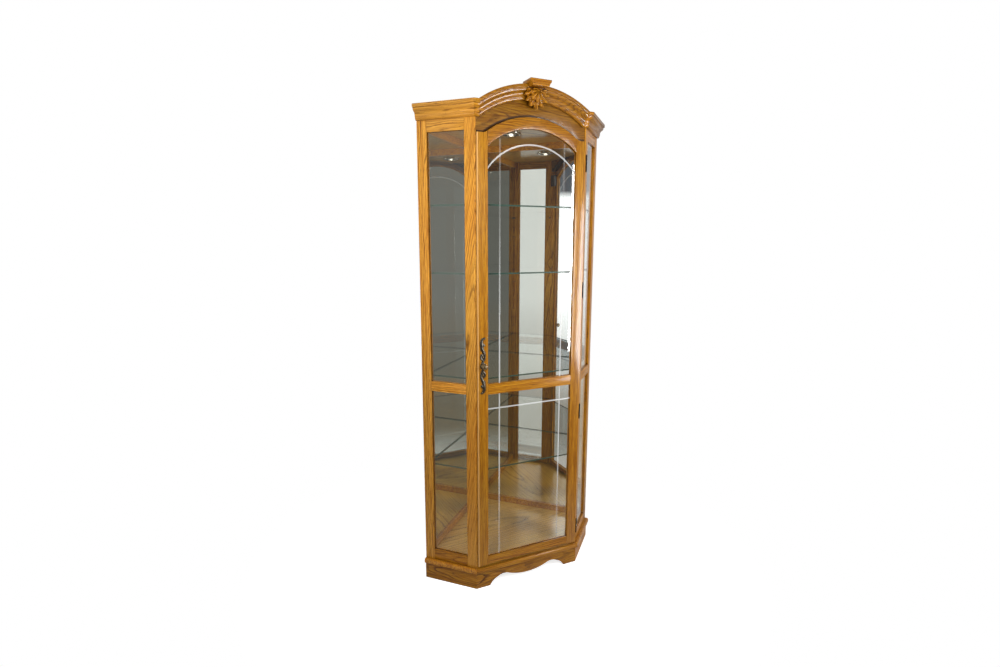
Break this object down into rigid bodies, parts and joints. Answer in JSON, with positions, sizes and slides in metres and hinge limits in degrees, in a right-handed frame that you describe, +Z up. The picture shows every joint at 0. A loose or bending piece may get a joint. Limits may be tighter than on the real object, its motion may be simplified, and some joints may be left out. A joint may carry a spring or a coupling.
{
  "type": "curio cabinet",
  "caption": "Tall five-sided glazed display cabinet with an arched hinged door, 45 degree glass sides, mirrored corner backs, glass shelves, arched crown and a lit ceiling.",
  "frame": {"origin": "centre of the whole cabinet's footprint box, at floor level", "axes": "+Z up, -Y towards the viewer (the door side), +X to the viewer's right"},
  "size_m": [0.84, 0.6226, 1.976],
  "materials": {
    "oak": "semi-gloss golden oak lacquer",
    "oak_veneer": "satin oak veneer",
    "plywood": "unfinished plywood",
    "glass": "clear polished",
    "mirror": "silvered",
    "antique_bronze": "dark antique with worn gold highlights",
    "black_metal": "satin black",
    "nickel": "polished",
    "steel": "plated",
    "bulb": "clear quartz capsule",
    "catch_plastic": "matt"
  },
  "bodies": {
    "case": {"back_bottom_rails": "oak", "back_panel_left": "plywood", "back_panel_right": "plywood", "back_top_rails": "oak", "bottom_panel": "oak_veneer", "crown_arch": "oak", "crown_left": "oak", "crown_returns": "oak", "crown_right": "oak", "frieze_board": "oak", "hinge_frame_leaves": "black_metal", "hinge_frame_screws": "steel", "hinge_pins": "black_metal", "keystone_cap": "oak", "keystone_carving": "oak", "left_bottom_rail": "oak", "left_front_stile": "oak", "left_mid_rail": "oak", "left_rear_stile": "oak", "left_top_rail": "oak", "light_bulb": "bulb", "light_housing": "nickel", "light_trim_ring": "nickel", "magnetic_catch": "catch_plastic", "mirror_left": "mirror", "mirror_right": "mirror", "plinth_cap_front": "oak", "plinth_cap_sides": "oak", "plinth_front": "oak", "plinth_left": "oak", "plinth_right": "oak", "rear_corner_post": "oak", "right_bottom_rail": "oak", "right_front_stile": "oak", "right_mid_rail": "oak", "right_rear_stile": "oak", "right_top_rail": "oak", "shelf_1": "glass", "shelf_2": "glass", "shelf_3": "glass", "shelf_4": "glass", "shelf_pins": "nickel", "side_glass_lower": "glass", "side_glass_stops": "oak", "side_glass_upper": "glass", "top_panel": "oak_veneer"},
    "door": {"door_stile_left": "oak", "door_stile_right": "oak", "door_top_rail": "oak", "door_mid_rail": "oak", "door_bottom_rail": "oak", "door_glass_upper": "glass", "door_glass_lower": "glass", "door_glass_stops": "oak", "handle_backplate": "antique_bronze", "handle_knob": "antique_bronze", "handle_screws": "antique_bronze", "hinge_door_leaves": "black_metal", "hinge_door_screws": "steel", "catch_plate": "steel"}
  },
  "joints": [
    {"name": "door_hinge", "type": "hinge", "parent": "case", "child": "door", "pos_m": [0.2366, -0.25354, 0.9385], "axis": [0, 0, 1], "range_deg": [0, 110]}
  ]
}
